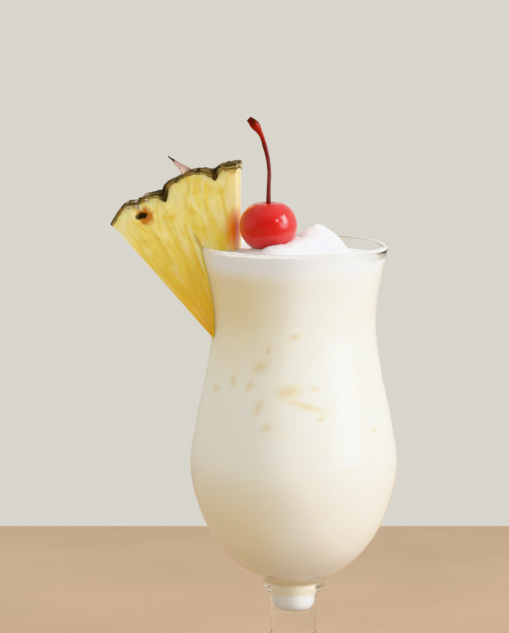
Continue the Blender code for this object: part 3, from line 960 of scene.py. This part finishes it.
def make_bracts():
    """The dry bracts that stand up from the rind's eyes."""
    joined = bmesh.new()
    for values in BRACTS:
        bm = block(BRACT_CUTS)
        shares = {}
        shape = bract_shape(*values)
        for vert in bm.verts:
            shares[vert.index] = vert.co.z
            vert.co = shape(*vert.co)
        bmesh.ops.recalc_face_normals(bm, faces=bm.faces)
        mesh = bpy.data.meshes.new("bract")
        tip = bm.verts.layers.float.new("tip")
        for vert in bm.verts:
            vert[tip] = shares[vert.index]
        bm.to_mesh(mesh)
        bm.free()
        joined.from_mesh(mesh)
        bpy.data.meshes.remove(mesh)
    piece("dry_bracts", mesh_from(joined, "dry_bracts"), dry_bract(), "pineapple")


# Cherry

def cherry_outline(rings):
    """The cherry's section from the dimple down."""
    outline = []
    for ring in range(rings + 1):
        turn = math.pi * ring / rings
        unit = max(0.0, math.sin(turn)) ** CHERRY_FULLNESS
        dimple = 0.0
        if turn < math.pi / 2:
            dimple = DIMPLE_DEPTH * math.exp(-(CHERRY_RADIUS * unit / DIMPLE_RADIUS) ** 2)
        outline.append((CHERRY_RADIUS * unit, CHERRY_HALF_HEIGHT * math.cos(turn) - dimple))
    outline[0] = (0, outline[0][1])
    outline[-1] = (0, outline[-1][1])
    return outline


def make_cherry():
    """The cherry, very slightly uneven."""
    mesh = turned("red_cherry", cherry_outline(CHERRY_RINGS), CHERRY_SEGMENTS)
    for vert in mesh.vertices:
        vert.co *= 0.992 + 0.008 * wavy(vert.co, 0.011, 6.0)
        vert.co += CHERRY_CENTRE
    piece("red_cherry", mesh, cherry_skin(), "red_cherry", "cherry")


def make_cherry_stem():
    """The cherry's stalk: a tapered rod that bends left and ends in a knob."""
    route = smooth_curve(STEM_ROUTE, STEM_STEPS)
    curve = bpy.data.curves.new("cherry_stalk", "CURVE")
    curve.dimensions = "3D"
    curve.bevel_depth = 1.0
    curve.bevel_resolution = STEM_ROUNDNESS
    curve.use_fill_caps = True
    spline = curve.splines.new("POLY")
    spline.points.add(len(route) - 1)
    for point, (x, z, radius) in zip(spline.points, route):
        point.co = (x, CHERRY_CENTRE.y, z, 1.0)
        point.radius = radius * (1 + 0.08 * wavy((x, 0, z), 0.002, 8.0))
    made = bpy.data.objects.new("cherry_stalk", curve)
    bpy.context.scene.collection.objects.link(made)
    curve.materials.append(cherry_stalk())
    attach(made, "root")
    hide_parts("cherry_stem")


# Stage, lights and camera

def make_floor():
    """A plain pale slab under the glass."""
    bm = bmesh.new()
    bmesh.ops.create_cube(bm, size=1.0)
    bmesh.ops.scale(bm, vec=(2 * FLOOR_HALF, 2 * FLOOR_HALF, FLOOR_THICKNESS), verts=bm.verts)
    bmesh.ops.translate(bm, vec=(0, 0, -FLOOR_THICKNESS / 2), verts=bm.verts)
    mesh = bpy.data.meshes.new("floor")
    bm.to_mesh(mesh)
    bm.free()
    made = bpy.data.objects.new("floor", mesh)
    bpy.context.scene.collection.objects.link(made)
    mesh.materials.append(pale_board())


def soft_light(name, azimuth, elevation, size, power, tint, spread):
    """A rectangular light that faces the drink. Azimuth 0 is at the camera, 90 is at the right."""
    light = bpy.data.lights.new(name, "AREA")
    light.shape = "RECTANGLE"
    light.size, light.size_y = size
    light.energy = power
    light.spread = math.radians(spread)
    light.color = colour(tint)[:3]
    made = bpy.data.objects.new(name, light)
    bpy.context.scene.collection.objects.link(made)
    turn = math.radians(azimuth)
    rise = math.radians(elevation)
    away = Vector((math.sin(turn) * math.cos(rise), -math.cos(turn) * math.cos(rise), math.sin(rise)))
    made.location = LIGHT_TARGET + away * LIGHT_DISTANCE
    made.rotation_euler = away.to_track_quat("Z", "Y").to_euler()
    made.visible_camera = False


def make_lights():
    """A window-like key at the right, a weak warm fill at the left, and an even room.

    Reflections show the room dimmer behind the camera and brown below, as over a table.
    """
    soft_light("key", 74, 28, (0.38, 0.56), 0.95, "#FFFFFF", 60)
    soft_light("low_window", 66, 9, (1.00, 0.50), 0.60, "#E2ECFF", 50)
    soft_light("side_pane", 38, 30, (0.13, 0.20), 0.10, "#FFFFFF", 60)
    soft_light("fill", -95, 8, (0.90, 0.80), 0.35, "#F0C490", 180)
    world = bpy.data.worlds.new("even_room")
    bpy.context.scene.world = world
    world.use_nodes = True
    world.node_tree.nodes.clear()
    rays = add(world, "ShaderNodeLightPath")
    towards = add(world, "ShaderNodeTexCoord").outputs["Generated"]
    parts = add(world, "ShaderNodeSeparateXYZ", {"Vector": towards})
    front = fade(world, parts.outputs["Y"], -0.35, -0.85, kind="SMOOTHSTEP")
    low = fade(world, parts.outputs["Z"], 0.0, -0.25, kind="SMOOTHSTEP")
    wall = mix(world, rays.outputs["Is Diffuse Ray"], colour("#DEDBD2"), colour("#EEECE7"))
    dim = mix(world, front, colour("#DEDBD2"), colour("#8A867E"))
    mirrored = mix(world, low, dim, colour("#C0A88C"))
    reflected = add(world, "ShaderNodeMath", {0: rays.outputs["Is Glossy Ray"],
                                              1: rays.outputs["Is Transmission Ray"]},
                    operation="SUBTRACT", use_clamp=True)
    seen = mix(world, reflected.outputs[0], wall, mirrored)
    room = add(world, "ShaderNodeBackground", {"Color": seen})
    add(world, "ShaderNodeOutputWorld", {"Surface": room.outputs[0]})
    bpy.context.scene.view_settings.view_transform = "Khronos PBR Neutral"


def make_camera():
    """The camera, looking a little down on the drink from the front."""
    data = bpy.data.cameras.new("camera")
    data.sensor_width = SENSOR
    data.lens = SENSOR * CAMERA_DISTANCE / (PHOTO_SIZE[1] * PHOTO_SCALE)
    made = bpy.data.objects.new("camera", data)
    bpy.context.scene.collection.objects.link(made)
    away = Vector((0, -math.cos(CAMERA_PITCH), math.sin(CAMERA_PITCH)))
    made.location = CAMERA_TARGET + away * CAMERA_DISTANCE
    made.rotation_euler = away.to_track_quat("Z", "Y").to_euler()
    bpy.context.scene.camera = made


make_camera()
make_floor()
make_lights()
make_glass()
make_drink()
make_foam()
make_flesh()
make_rind()
make_bracts()
make_cherry()
make_cherry_stem()
